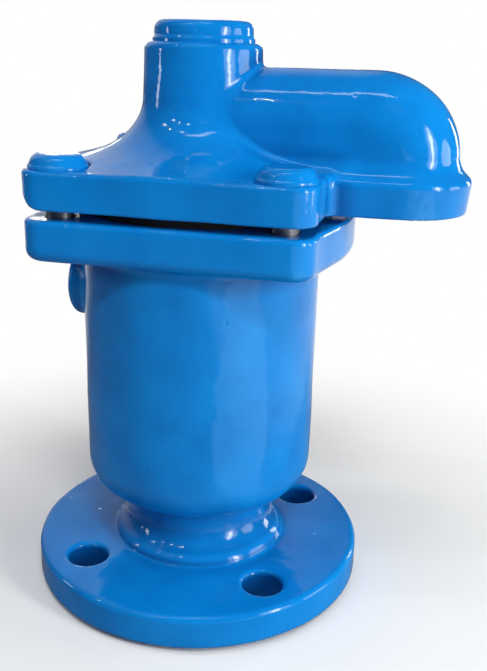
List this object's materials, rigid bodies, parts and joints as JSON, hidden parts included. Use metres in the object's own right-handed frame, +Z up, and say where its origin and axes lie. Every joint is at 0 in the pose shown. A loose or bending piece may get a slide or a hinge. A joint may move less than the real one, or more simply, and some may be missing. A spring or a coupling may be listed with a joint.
{
  "type": "air release valve",
  "caption": "Flanged cast air release valve with a bowl-bottomed barrel, bolted square cover, flared tower and down-turned side outlet.",
  "frame": {"origin": "centre of the raised inlet sealing face", "axes": "+Z up along the barrel axis, +X towards the outlet"},
  "size_m": [0.2035, 0.165, 0.2696],
  "materials": {
    "enamel": "glossy thick enamel over a rough casting",
    "rubber": "matt black moulded rubber",
    "bronze": "machined bronze",
    "steel": "turned and brushed stainless steel"
  },
  "bodies": {
    "valve": {"body": "enamel", "cover": "enamel", "cover_gasket": "rubber", "cover_bolts": "enamel", "tower_plug": "enamel", "plug_seal": "rubber", "stem_bush": "bronze", "seat_ring": "bronze", "cage_ring": "steel", "tie_rods": "steel", "upper_spacers": "steel", "lower_spacers": "steel", "shutter_shelf": "steel", "cage_floor": "steel", "rod_nuts": "steel", "test_plug": "enamel", "outlet_screen": "steel", "screen_clip": "steel"},
    "shutter": {"shutter_disc": "steel", "shutter_seal": "rubber", "seal_clamp": "steel", "shutter_stem": "steel", "stem_nut": "steel", "nozzle": "bronze", "yoke": "steel", "yoke_screws": "steel"},
    "float": {"float_top": "steel", "float_bottom": "steel", "pad_holder": "steel", "orifice_pad": "rubber"}
  },
  "joints": [
    {"name": "shutter_lift", "type": "slide", "parent": "valve", "child": "shutter", "axis": [0, 0, 1], "range_m": [0, 0.018]},
    {"name": "float_rise", "type": "slide", "parent": "shutter", "child": "float", "axis": [0, 0, 1], "range_m": [0, 0.0048]}
  ]
}
